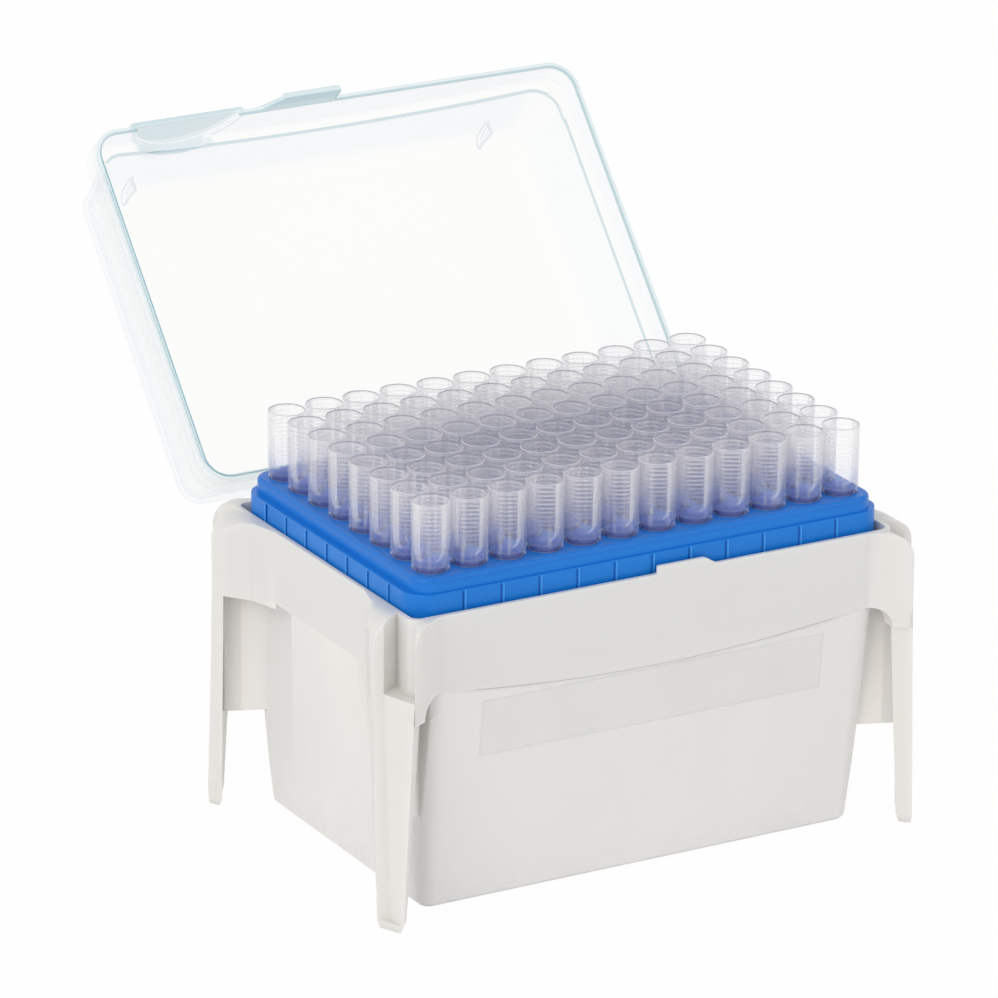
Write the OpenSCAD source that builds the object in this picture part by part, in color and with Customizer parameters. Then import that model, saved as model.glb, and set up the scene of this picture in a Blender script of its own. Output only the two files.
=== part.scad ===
// Box of pipette tips: a hinged rack with a clear lid, a tip plate and its tips.
// Millimetres, +Z up. The origin is on the underside, at the middle of the tub.
// Columns of tips run along Y, side by side along X. The hinge is at the back (+Y).

/* [Tip grid] */
// Distance between the centres of neighbouring tips
pitch = 9; // [8.8:0.1:12]
// Number of tips along X
columns = 12; // [8:1:12]
// Number of tips along Y
rows = 8; // [6:1:8]

/* [Tips] */
// Overall length of one tip
tip_len = 84; // [60:1:105]
// Height of a seated tip above the deck
collar_h = 15.1; // [10:0.1:20]
// Height of the points above the floor
tip_clear = 5.8; // [3:0.1:12]
// Radius of the collar at the mouth
mouth_r = 4.15; // [3.9:0.05:4.3]
// Radius of the collar where it sits on the deck
seat_r = 4.02; // [3.8:0.02:4.2]
// Radius of the cone just below the deck
cone_r = 3.2; // [2.8:0.1:3.3]
// Radius of the cone where its slender end begins
shank_r = 1.3; // [1.2:0.05:1.6]
// Height of the slender end of the cone
shank_h = 20; // [12:1:30]
// Radius of the point
point_r = 0.75; // [0.65:0.05:1]
// Wall of the tip
tip_wall = 0.42; // [0.3:0.02:0.5]

/* [Tip plate] */
// Deck beyond the outer tip centres, along X
deck_margin_x = 5.8; // [5.5:0.1:9]
// Deck beyond the outer tip centres, along Y
deck_margin_y = 5.9; // [5.5:0.1:9]
// Corner radius of the deck
deck_corner = 4.5; // [3:0.5:5.5]
// Rounding of the deck's upper edge
deck_edge = 0.9; // [0.3:0.1:1.5]
// Thickness of the deck
deck_t = 1.8; // [1:0.1:3]
// Drop from the deck to the ledge round it
ledge_drop = 3.2; // [2.5:0.1:5]
// Width of the ledge at the two ends
ledge_x = 1.6; // [1:0.1:4]
// Width of the ledge along the long sides
ledge_y = 0.6; // [0.4:0.1:4]
// Thickness of the plate's walls
plate_wall = 1.1; // [0.8:0.1:1.4]
// Play between a tip and its hole, on the radius
hole_play = 0.2; // [0.1:0.05:0.3]
// Width of a rib on the plate's outer wall
rib_w = 0.6; // [0.4:0.1:2]
// How far a rib stands proud of the wall
rib_out = 0.25; // [0.1:0.05:0.35]

/* [Box] */
// Drop from the deck to the box rim
rim_drop = 7.3; // [5.5:0.1:10]
// Drop from the deck to the foot of the wide upper band
band_drop = 23.5; // [20:0.1:30]
// Dip of the band's lower line at the middle of the long sides
band_dip = 4; // [1:0.1:6]
// Gap between the plate and the box wall at the two ends
plate_gap_x = 0.5; // [0.4:0.1:2]
// Gap between the plate and the box wall along the long sides
plate_gap_y = 1; // [0.4:0.1:2]
// Thickness of the box's walls
wall = 1.1; // [0.9:0.1:1.5]
// Thickness of the tub's floor
floor_t = 1.2; // [0.8:0.1:2.5]
// Corner radius of the rim
rim_corner = 3; // [2.5:0.5:5]
// Tub beyond the outer tip centres at the floor, along X
foot_margin_x = 2.9; // [2.6:0.1:5]
// Tub beyond the outer tip centres at the floor, along Y
foot_margin_y = 2.8; // [2.4:0.1:5]
// Corner radius of the tub at the floor
tub_corner = 3; // [2:0.5:5]
// Rounding of the tub's lower edge
tub_edge = 0.8; // [0.3:0.1:1.5]
// Recessed corners of the tub beyond the outer tip centres, along X
recess_margin = 3.8; // [3.7:0.1:4.5]
// Half length of the panel between two recesses, as a share of the half depth
panel_share = 0.51; // [0.45:0.01:0.6]
// Slope of the cut that ends the panel: fall along Y for each millimetre along X
recess_slope = 1.43; // [1.2:0.01:1.6]

/* [Corner legs] */
// Reach of a leg's end flange beyond the rim, along X
flange_x = 6.8; // [5:0.1:9]
// Edge of the end flange inside the rim at the upper band, along Y
end_in_top = 4.1; // [3.5:0.1:5]
// The same at the floor
end_in_foot = 2.2; // [1.5:0.1:3]
// Width of the end flange's outer face at the upper band
end_w_top = 4; // [3:0.1:6]
// The same at the floor
end_w_foot = 2.9; // [2:0.1:4]
// How far that face leans in at the upper band
end_lean_top = 0.7; // [0.3:0.1:1.2]
// The same at the floor
end_lean_foot = 1.7; // [1:0.1:2.2]
// Reach of a leg's side flange beyond the rim, along Y
flange_y = 4.7; // [3.5:0.1:6]
// Edge of the side flange beyond the rim's corner, along X
side_x = 1.9; // [1:0.1:2.5]
// How much further out that edge stands at the floor, along X
side_splay = 1.9; // [0:0.1:2.5]
// How much further in that edge stands at the floor, along Y
side_tuck = 0.8; // [0:0.1:1.5]
// Crease of the groove beyond the rim at the upper band, along X
crease_x_top = 4.7; // [4.4:0.1:5]
// Crease of the groove inside the rim at the upper band, along Y
crease_y_top = 3.5; // [3.2:0.1:3.8]
// Crease of the groove beyond the rim at the floor, along X
crease_x_foot = 4.3; // [4:0.1:4.5]
// Crease of the groove inside the rim at the floor, along Y
crease_y_foot = 0.8; // [0.5:0.1:1.2]
// Width of the side flange's inner lip at the upper band
lip_top = 3.5; // [3:0.1:4]
// The same at the floor, along X
lip_foot_x = 2.3; // [2:0.1:3]
// The same at the floor, along Y
lip_foot_y = 2.9; // [2.2:0.1:3.2]
// Thickness of a leg's flanges
leg_t = 1.2; // [1:0.1:1.6]
// Height of the foot that closes the groove
foot_h = 1.8; // [1:0.1:4]
// Size of the foot's sole, as a share of the leg
sole_share = 0.78; // [0.6:0.01:0.95]
// Springing of the horns from the rim, inside its corner
root_in = 6.8; // [6:0.1:8]
// Length of the horn above the end flange, along Y
horn_len = 13.5; // [12:0.5:16]
// Radius of the shoulders where the band meets the legs
shoulder_r = 5.3; // [3:0.1:5.5]
// Radius of the arches between the tub and the legs
arch_corner = 4.5; // [2:0.5:5]
// Thickness of the web behind a leg
web_t = 1.2; // [1:0.1:1.4]
// Lower edge of that web, as a share of the band's height
web_share = 0.42; // [0.2:0.01:0.7]

/* [Lid] */
// Thickness of the lid
lid_wall = 1.2; // [0.9:0.1:1.6]
// Room between the mouths of the tips and the shut lid
roof_clear = 3.5; // [1:0.1:10]
// Height of the shut lid's rim above the box rim
lid_lift = 0.3; // [0.2:0.05:1]
// Gap round the box rim at the two ends
lid_gap_x = 0.7; // [0.5:0.1:3]
// Gap round the box rim along the long sides
lid_gap_y = 1.1; // [0.8:0.1:3]
// Height of the wide band along the lid's rim
lid_band_h = 6.8; // [5:0.1:8]
// Extra height of that band at the middle of the front
lid_arch = 4.5; // [1:0.1:6]
// Step from the band in to the lid's walls
lid_step = 2.2; // [1.6:0.1:2.4]
// Lean of the lid's walls between the band and the roof
lid_lean = 1.7; // [0.5:0.1:1.8]
// Corner radius of the lid's rim
lid_corner = 6.5; // [5:0.5:9]
// Corner radius of the lid's walls
shell_corner = 7; // [6.8:0.1:10]
// Rounding of the roof's edge
roof_edge = 5; // [3:0.5:5]
// Opening angle of the lid from shut
open_angle = 131.8; // [90:0.1:140]

/* [Hinge] */
// Radius of the hinge pin
pin_r = 1; // [0.8:0.05:1.2]
// Running clearance of the pin, on the radius
pin_play = 0.05; // [0.02:0.01:0.1]
// Radius of the knuckles and of the ears
knuckle_r = 2; // [1.9:0.05:2.6]
// Clearance between the ears and the lid's wall
knuckle_gap = 0.4; // [0.35:0.05:1]
// Height of the pin above the lid's rim
hinge_up = 0.3; // [0.2:0.1:1]
// Distance of each knuckle from the middle
knuckle_x = 30; // [20:1:38]
// Length of a knuckle
knuckle_w = 9; // [5:0.5:14]
// Side play of a knuckle between its ears
side_play = 0.4; // [0.3:0.05:1]
// Thickness of an ear
ear_t = 2.5; // [1.5:0.1:4]
// Height of an ear below the lid's rim
ear_h = 9; // [6:0.5:14]
// Reach of the stop that the open lid leans on
stop_len = 4.5; // [2:0.1:6]
// Thickness of that stop
stop_t = 1.5; // [1:0.1:2]
// Gap between the stop and the open lid
stop_gap = 0.3; // [0.2:0.05:0.6]
// Width of the mouth that clips over the pin
mouth_w = 1.5; // [1:0.1:1.7]

/* [Latch and grip] */
// Length of the raised step on the front rim
step_len = 11; // [6:0.5:20]
// Length of the run-out of that step
step_run = 4; // [2:0.5:8]
// Height of the raised step
step_h = 1.7; // [0.8:0.1:2.5]
// Length of the lid's latch tongue along its lower edge
tongue_len = 14; // [8:0.5:24]
// Length of the sloping side of the tongue
tongue_run = 5; // [2:0.5:10]
// Drop of the tongue below the lid's rim
tongue_h = 4.4; // [3:0.1:6]
// Height of the bead along the tongue
bead_h = 1; // [0.5:0.1:2]
// Distance of the thumb pad from the middle
pad_x = 36.2; // [30:0.1:40]
// Width of the thumb pad
pad_w = 27.5; // [20:0.5:32]
// Height of the thumb pad
pad_h = 12.3; // [8:0.1:13]
// How far the thumb pad stands proud of the band
pad_out = 0.8; // [0.4:0.1:2]
// Length of a rib inside the lid
lid_rib_h = 8.5; // [4:0.5:10]
// Reach of a rib inside the lid
lid_rib_out = 2.7; // [1:0.1:3]
// Thickness of a rib inside the lid
lid_rib_t = 0.8; // [0.5:0.1:1]

/* [Label] */
// Width of the blank label
label_w = 83; // [40:1:90]
// Height of the blank label
label_h = 13; // [8:0.5:24]
// Thickness of the blank label
label_t = 0.15; // [0.1:0.05:0.4]
// Distance of the label below the upper band
label_drop = 0.5; // [0.2:0.1:20]

/* [Hidden] */
eps = 0.02;
beyond = 9;
run_steps = 6;

// Tip grid and plate
grid_x = (columns - 1) * pitch / 2;
grid_y = (rows - 1) * pitch / 2;
deck_x = grid_x + deck_margin_x;
deck_y = grid_y + deck_margin_y;
skirt_x = deck_x + ledge_x;
skirt_y = deck_y + ledge_y;
cone_h = tip_len - collar_h;
deck_z = tip_clear + cone_h;
ledge_z = deck_z - ledge_drop;
hole_r = cone_r + hole_play;

// Box
rim_x = skirt_x + plate_gap_x + wall;
rim_y = skirt_y + plate_gap_y + wall;
rim_z = deck_z - rim_drop;
band_z = deck_z - band_drop;
shelf_z = band_z + wall;
tub_foot_x = grid_x + foot_margin_x;
tub_foot_y = grid_y + foot_margin_y;
tub_lean = (rim_y - tub_foot_y) / band_z;
recess_x = grid_x + recess_margin;
recess_y = panel_share * rim_y;
web_z = web_share * band_z;
web_y = rim_y - root_in;

// Section of a leg at the upper band: lip, edge, crease, edge, lip, back of the crease
end_top = [rim_x + flange_x, rim_y - end_in_top];
side_top = [rim_x + side_x, rim_y + flange_y];
crease_top = [rim_x + crease_x_top, rim_y - crease_y_top];
leg_top = [end_top - [end_lean_top, end_w_top], end_top, crease_top, side_top,
           side_top - [lip_top, lip_top], crease_top - [leg_t + 0.2, -0.1]];
// The same at the floor
end_foot = [rim_x + flange_x, rim_y - end_in_foot];
side_foot = side_top + [side_splay, -side_tuck];
crease_foot = [rim_x + crease_x_foot, rim_y - crease_y_foot];
leg_foot = [end_foot - [end_lean_foot, end_w_foot], end_foot, crease_foot, side_foot,
            side_foot - [lip_foot_x, lip_foot_y], crease_foot - [leg_t + 0.2, -0.1]];
// Where the two flanges spring from the rim
root_end = [rim_x - wall / 2, rim_y - root_in];
root_side = [rim_x - 1.4, rim_y - 0.9];

// Lid, as it lies when shut
lid_z = rim_z + lid_lift;
roof_z = deck_z + collar_h + roof_clear + lid_wall;
shell_z = lid_z + lid_band_h;
lid_in_x = rim_x + lid_gap_x;
lid_in_y = rim_y + lid_gap_y;
lid_x = lid_in_x + lid_wall;
lid_y = lid_in_y + lid_wall;
shell_x = lid_x - lid_step;
shell_y = lid_y - lid_step;
arch_r = (lid_x * lid_x + lid_arch * lid_arch) / (2 * lid_arch);
pad_r = (pad_w * pad_w / 4 + pad_h * pad_h) / (2 * pad_h);
lid_rib_x = grid_x - pitch / 2;
hinge_y = lid_y + knuckle_gap + knuckle_r;
hinge_z = lid_z + hinge_up;

// Solid between two sections of a leg, the second one at height h
module bracket(low, high, h) {
    caps = [[0, 1, 2], [0, 2, 5], [5, 2, 4], [2, 3, 4]];
    lids = [for (c = caps) [c[2] + 6, c[1] + 6, c[0] + 6]];
    sides = [for (i = [0:5]) for (k = [0, 1]) let (j = (i + 1) % 6)
        k == 0 ? [i, i + 6, j + 6] : [i, j + 6, j]];
    polyhedron([for (p = low) [p.x, p.y, 0], for (p = high) [p.x, p.y, h]], concat(caps, lids, sides));
}

module four_corners() {
    for (x = [0, 1]) for (y = [0, 1]) mirror([x, 0, 0]) mirror([0, y, 0]) children();
}

// Rounded rectangle, extruded between two heights
module prism(hx, hy, r, z0, z1) {
    translate([0, 0, z0]) linear_extrude(height = z1 - z0) {
        square([2 * hx, 2 * (hy - r)], center = true);
        square([2 * (hx - r), 2 * hy], center = true);
        for (x = [r - hx, hx - r]) for (y = [r - hy, hy - r]) translate([x, y]) circle(r, $fn = 64);
    }
}

// A profile in the YZ plane, extruded along X between two places
module along_x(x0, x1) {
    translate([x0, 0, 0]) rotate([90, 0, 90]) linear_extrude(height = x1 - x0) children();
}

// A profile in the XZ plane, extruded along Y between two places
module along_y(y0, y1) {
    translate([0, y1, 0]) rotate([90, 0, 0]) linear_extrude(height = y1 - y0) children();
}

// A wall profile carried round a rectangle: straight along the sides, turned at the corners
module swept(cx, cy, z0, z1) {
    translate([-cx, -cy, z0]) cube([2 * cx, 2 * cy, z1 - z0]);
    for (s = [0, 1]) {
        mirror([0, s, 0]) translate([0, cy, 0]) along_x(-cx, cx) children();
        mirror([s, 0, 0]) translate([cx, 0, 0]) along_y(-cy, cy) children();
    }
    four_corners() translate([cx, cy, 0]) rotate_extrude(angle = 90, $fn = 96) children();
}

// ---- Box ----

// Tub below the upper band, grown outwards by g
module tub_body(g, z0, z1, edge) {
    r0 = tub_corner + tub_lean * z0 + g;
    r1 = tub_corner + tub_lean * z1 + g;
    difference() {
        swept(tub_foot_x - tub_corner, tub_foot_y - tub_corner, z0, z1) {
            polygon([[0, z0], [r0 - edge, z0], [r0 + tub_lean * edge, z0 + edge], [r1, z1], [0, z1]]);
        }
        four_corners() translate([0, 0, z0 - 1]) linear_extrude(height = z1 - z0 + 2)
            polygon([[recess_x + g, recess_y + g], [recess_x + g, rim_y + beyond],
                     [rim_x + beyond, rim_y + beyond],
                     [rim_x + beyond, recess_y + g - recess_slope * (rim_x + beyond - recess_x)]]);
    }
}

// Part of the upper band that dips below its ends, on the front and on the back
module band_skirt() {
    half = rim_x - rim_corner;
    r = (half * half + band_dip * band_dip) / (2 * band_dip);
    for (s = [0, 1]) mirror([0, s, 0]) along_y(rim_y - wall, rim_y) intersection() {
        translate([0, band_z - band_dip + r]) circle(r, $fn = 720);
        translate([-half, band_z - band_dip]) square([2 * half, band_dip]);
    }
}

// Elevation of a horn from a height up, g inside it: square but for its rounded shoulder
module shoulder(reach, low, g) {
    top = rim_z - g;
    translate([rim_x - 12, low]) square([reach - rim_x + 12 - shoulder_r, top - low]);
    translate([rim_x - 12, low]) square([reach - rim_x + 12 - g, rim_z - shoulder_r - low]);
    translate([reach - shoulder_r, rim_z - shoulder_r]) circle(shoulder_r - g, $fn = 96);
}

// Horn in plan, rising from the upper band and cut to its shoulder
module horn(outline, reach, low, g) {
    intersection() {
        translate([0, 0, low - 1]) linear_extrude(height = rim_z) polygon(outline);
        along_y(0, rim_y + 2 * flange_y) shoulder(reach, low, g);
    }
}

module end_horn() {
    lip = leg_top[0];
    outer = [root_end - [0, horn_len], root_end + [wall / 2, -horn_len], [rim_x + 1.8, lip.y - 5.6],
             lip, end_top, crease_top, root_end];
    inner = [[rim_x + 0.1, lip.y - 9], [rim_x + 0.8, lip.y - 5], lip + [-leg_t, 0.4],
             end_top - [leg_t + 0.8, leg_t], root_end + [wall / 2 + 0.1, -1.1]];
    difference() {
        horn(outer, end_top.x, band_z - leg_t, 0);
        horn(inner, end_top.x, band_z - 2 * leg_t, leg_t);
    }
}

module side_horn() {
    outline = [[rim_x - root_in, rim_y - wall / 2], root_side, side_top, [rim_x - root_in, rim_y]];
    horn(outline, side_top.x, band_z - leg_t / 2, 0);
    // Fillet of the arch between the tub and the leg
    low = band_z - leg_t / 2 - arch_corner;
    x = side_top.x - lip_top - arch_corner;
    intersection() {
        translate([0, 0, low]) linear_extrude(height = arch_corner + leg_t / 4) polygon(outline);
        along_y(0, side_top.y + 1) difference() {
            translate([x, low]) square([side_top.x - x, arch_corner + leg_t]);
            translate([x, low]) circle(arch_corner, $fn = 96);
        }
    }
}

// Leg with a groove in its outer side
module corner_leg() {
    closed = [for (i = [0:5]) i == 2 ? (end_foot + side_foot) / 2 : leg_foot[i]];
    middle = (end_foot + side_foot + crease_foot) / 3;
    bracket([for (p = closed) middle + sole_share * (p - middle)], closed, foot_h);
    translate([0, 0, foot_h]) bracket(leg_foot, leg_top, band_z - foot_h);
    // Floor of the pocket above the groove
    translate([0, 0, band_z - leg_t]) linear_extrude(height = leg_t)
        polygon([crease_top, side_top - [0.1, 0.1], root_side, root_end]);
    // Web from the tub to the leg
    translate([0, 0, web_z]) linear_extrude(height = band_z - web_z)
        polygon([[recess_x - wall / 2, web_y - web_t / 2], crease_top - [1, 0.2],
                 crease_top - [1, 0.2 - web_t], [recess_x - wall / 2, web_y + web_t / 2]]);
    end_horn();
    side_horn();
}

// Two pairs of ears behind the rim, each pair with a pin and with stops for the open lid
module hinge_ears() {
    half = knuckle_w / 2 + side_play;
    lean = [cos(180 - open_angle), sin(180 - open_angle)];
    face = hinge_y - lid_y - stop_gap;
    stop = stop_len * [lean.y, -lean.x];
    wall_y = rim_y - wall / 2 - hinge_y;
    ear_top = lid_z - 0.5 - hinge_z;
    for (x = [-knuckle_x, knuckle_x]) {
        for (s = [x - half - ear_t, x + half]) along_x(s, s + ear_t) {
            translate([hinge_y, hinge_z]) {
                circle(knuckle_r, $fn = 64);
                polygon([[0, 0], face * lean, face * lean + stop, (face - stop_t) * lean + stop,
                         [wall_y, lid_z - ear_h - hinge_z], [wall_y, ear_top], [-stop_t, ear_top]]);
            }
        }
        along_x(x - half - ear_t / 2, x + half + ear_t / 2)
            translate([hinge_y, hinge_z]) circle(pin_r, $fn = 64);
    }
}

// Raised step on the front rim, square at one end and running out at the other
module rim_step() {
    run = [for (i = [0:run_steps]) let (share = i / run_steps)
        [step_len + step_run * share, step_h * (1 + cos(180 * share)) / 2]];
    along_y(-rim_y, wall - rim_y) translate([0, rim_z])
        polygon(concat([[0, -1], [0, step_h]], run, [[step_len, -1]]));
}

module rack_box() {
    color([0.93, 0.92, 0.9]) {
        difference() {
            union() {
                tub_body(0, 0, band_z, tub_edge);
                prism(rim_x, rim_y, rim_corner, band_z, rim_z);
                band_skirt();
                four_corners() corner_leg();
            }
            tub_body(-wall, floor_t, band_z + wall + 1, 0.3);
            prism(rim_x - wall, rim_y - wall, rim_corner - wall, shelf_z, rim_z + 5);
        }
        hinge_ears();
        rim_step();
    }
}

// ---- Tip plate ----

module plate_ribs() {
    rib_z = shelf_z + 1.5;
    rib_h = ledge_z - 0.4 - rib_z;
    for (i = [1:columns - 1]) for (s = [0, 1]) mirror([0, s, 0])
        translate([(i - 0.5) * pitch - grid_x - rib_w / 2, skirt_y - rib_out, rib_z])
            cube([rib_w, 2 * rib_out, rib_h]);
    for (i = [1:rows - 1]) for (s = [0, 1]) mirror([s, 0, 0])
        translate([skirt_x - rib_out, (i - 0.5) * pitch - grid_y - rib_w / 2, rib_z])
            cube([2 * rib_out, rib_w, rib_h]);
}

module tip_plate() {
    deck_low = ledge_z - deck_t;
    edge_z = deck_z - deck_edge;
    round_r = deck_corner - deck_edge;
    skirt_r = deck_corner + 1;
    color([0.1, 0.43, 0.84]) difference() {
        union() {
            swept(deck_x - deck_corner, deck_y - deck_corner, deck_low, deck_z) {
                polygon([[0, deck_low], [deck_corner, deck_low], [deck_corner, edge_z],
                         [round_r, edge_z], [round_r, deck_z], [0, deck_z]]);
                intersection() {
                    translate([round_r, edge_z]) circle(deck_edge, $fn = 48);
                    translate([round_r, edge_z]) square(deck_edge + 1);
                }
            }
            prism(skirt_x, skirt_y, skirt_r, shelf_z, ledge_z);
            plate_ribs();
        }
        prism(deck_x - plate_wall, deck_y - plate_wall, deck_corner - plate_wall,
              shelf_z - 1, deck_z - deck_t);
        prism(skirt_x - plate_wall, skirt_y - plate_wall, skirt_r - plate_wall,
              shelf_z - 1, ledge_z - deck_t);
        for (i = [0:columns - 1]) for (j = [0:rows - 1])
            translate([i * pitch - grid_x, j * pitch - grid_y, deck_z - deck_t - 1])
                cylinder(h = deck_t + 2, r = hole_r, $fn = 64);
    }
}

// ---- Tips ----

module tip() {
    step_z = cone_h + 0.9;
    rotate_extrude($fn = 64) polygon([
        [point_r - tip_wall, 0], [point_r, 0], [shank_r, shank_h], [cone_r, cone_h], [seat_r, cone_h],
        [mouth_r, tip_len], [mouth_r - tip_wall, tip_len], [seat_r - tip_wall - 0.1, step_z],
        [cone_r - tip_wall, step_z - 0.5], [shank_r - tip_wall, shank_h]]);
}

module tips_column(i) {
    if (i <= columns) color([0.86, 0.88, 0.92, 0.5]) for (j = [0:rows - 1])
        translate([(i - 1) * pitch - grid_x, j * pitch - grid_y, tip_clear]) tip();
}

// ---- Lid ----

// Leaning walls and roof, shrunk inwards by g
module lid_shell(g) {
    low = shell_z - 0.5 - g;
    top = roof_z - g;
    fillet = roof_edge - g;
    r0 = shell_corner - g;
    r1 = r0 - lid_lean;
    swept(shell_x - shell_corner, shell_y - shell_corner, low, top) {
        polygon([[0, low], [r0, low], [r1, top - fillet],
                 [r1 - fillet, top - fillet], [r1 - fillet, top], [0, top]]);
        intersection() {
            translate([r1 - fillet, top - fillet]) circle(fillet, $fn = 64);
            translate([r1 - fillet, top - fillet]) square(fillet + 1);
        }
    }
}

// Wide band along the rim, higher in an arch across the front, with the thumb pad
module lid_band(g, z0) {
    prism(lid_x - g, lid_y - g, lid_corner - g, z0, shell_z - g);
    intersection() {
        prism(lid_x - g, lid_y - g, lid_corner - g, z0, shell_z + lid_arch);
        along_y(-lid_y, -deck_y) intersection() {
            translate([0, shell_z + lid_arch - arch_r]) circle(arch_r - g, $fn = 720);
            translate([-lid_x, z0]) square([2 * lid_x, lid_z + lid_band_h + lid_arch - z0]);
        }
    }
    along_y(g - lid_y - pad_out, lid_wall - shell_y) intersection() {
        translate([-pad_x, lid_z + pad_h - pad_r]) circle(pad_r - g, $fn = 128);
        translate([-pad_x - pad_w / 2, z0]) square([pad_w, lid_z + pad_h - z0]);
    }
}

module lid_tongue() {
    end = -tongue_len - tongue_run;
    along_y(-lid_y, lid_wall - lid_y) translate([0, lid_z])
        polygon([[0, 1], [0, -tongue_h], [-tongue_len, -tongue_h], [end, 0], [end, 1]]);
    // Bead along the tongue's lower edge
    along_y(-lid_y - 0.5, lid_wall - lid_y)
        translate([-tongue_len, lid_z - tongue_h]) square([tongue_len, bead_h]);
}

// Open clip on the lid's back wall that turns on the pin
module knuckle() {
    wall_y = lid_in_y + lid_wall / 2;
    low = lid_z + 0.4;
    top = lid_z + 4.6;
    along_x(-knuckle_w / 2, knuckle_w / 2) difference() {
        union() {
            translate([hinge_y, hinge_z]) circle(knuckle_r, $fn = 64);
            polygon([[wall_y, low], [wall_y, top], [lid_y, top],
                     [hinge_y + 0.6, hinge_z + knuckle_r - 0.2], [hinge_y - 0.4, low]]);
        }
        translate([hinge_y, hinge_z]) circle(pin_r + pin_play, $fn = 64);
        translate([hinge_y, hinge_z - mouth_w / 2]) square([knuckle_r + 1, mouth_w]);
    }
}

module lid_ribs() {
    back = shell_y - lid_wall / 2;
    intersection() {
        for (x = [-lid_rib_x, lid_rib_x])
            translate([x - lid_rib_t / 2, -back, roof_z - lid_wall / 2 - lid_rib_h])
                cube([lid_rib_t, lid_lean + lid_wall / 2 + lid_rib_out, lid_rib_h]);
        lid_shell(lid_wall / 2);
    }
}

module lid_shut() {
    difference() {
        union() {
            lid_shell(0);
            lid_band(0, lid_z);
        }
        lid_shell(lid_wall);
        lid_band(lid_wall, lid_z - 1);
    }
    lid_tongue();
    for (x = [-knuckle_x, knuckle_x]) translate([x, 0, 0]) knuckle();
    lid_ribs();
}

module lid() {
    color([0.8, 0.9, 0.93, 0.4]) translate([0, hinge_y, hinge_z]) rotate([-open_angle, 0, 0])
        translate([0, -hinge_y, -hinge_z]) lid_shut();
}

// ---- Label ----

module label() {
    top = band_z - band_dip - label_drop;
    color([0.95, 0.95, 0.95, 0.5])
        translate([0, -tub_foot_y - tub_lean * top, top]) rotate([atan(tub_lean), 0, 0])
        translate([-label_w / 2, -label_t - eps, -label_h]) cube([label_w, label_t, label_h]);
}

rack_box();
tip_plate();
lid();
label();
tips_column(1);  // tips_column_1
tips_column(2);  // tips_column_2
tips_column(3);  // tips_column_3
tips_column(4);  // tips_column_4
tips_column(5);  // tips_column_5
tips_column(6);  // tips_column_6
tips_column(7);  // tips_column_7
tips_column(8);  // tips_column_8
tips_column(9);  // tips_column_9
tips_column(10);  // tips_column_10
tips_column(11);  // tips_column_11
tips_column(12);  // tips_column_12
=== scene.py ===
"""Looks of a hinged rack of pipette tips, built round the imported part.

Lengths are in metres. A "shut" coordinate is one that the lid's shape has when the lid is closed.
"""
import logging
import math
from dataclasses import dataclass, field
from enum import Enum
from typing import Callable

import bmesh
import bpy
import numpy as np
from mathutils import Matrix, Vector


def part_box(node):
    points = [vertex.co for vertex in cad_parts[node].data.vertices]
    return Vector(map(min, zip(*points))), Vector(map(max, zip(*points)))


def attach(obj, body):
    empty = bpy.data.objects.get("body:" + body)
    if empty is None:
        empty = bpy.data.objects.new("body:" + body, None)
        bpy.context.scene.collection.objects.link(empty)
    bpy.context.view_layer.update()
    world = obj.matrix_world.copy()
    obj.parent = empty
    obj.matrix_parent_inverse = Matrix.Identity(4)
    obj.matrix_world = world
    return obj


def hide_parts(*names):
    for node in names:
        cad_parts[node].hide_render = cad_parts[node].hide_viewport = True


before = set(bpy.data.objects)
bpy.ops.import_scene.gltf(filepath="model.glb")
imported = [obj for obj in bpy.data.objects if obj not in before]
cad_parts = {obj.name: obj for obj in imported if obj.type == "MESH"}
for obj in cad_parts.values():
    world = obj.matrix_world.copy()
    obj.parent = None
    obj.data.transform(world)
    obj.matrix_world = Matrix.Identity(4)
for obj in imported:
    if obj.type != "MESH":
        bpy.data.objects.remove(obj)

MM = 0.001
WHITE = (1.0, 1.0, 1.0, 1.0)
PLASTIC = "ShaderNodeBsdfPrincipled"
# Refractive index of polypropylene
POLYPROPYLENE = 1.49
LOG = logging.getLogger("rack")
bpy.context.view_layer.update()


class Slot(Enum):
    """Material slots of the record."""

    BOX = "box_white"
    PLATE = "plate_blue"
    TIP = "tip_clear"
    LID = "lid_clear"
    LABEL = "label_film"


class Body(Enum):
    """Bodies that the joint tells apart."""

    BASE = "base"
    LID = "lid"


# ---- Shader maths ----


@dataclass(frozen=True)
class Pattern:
    """A noise: turns to the metre, octaves, and the scale along each axis where it differs."""

    scale: float
    detail: float = 2.0
    stretch: tuple | None = None


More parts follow.
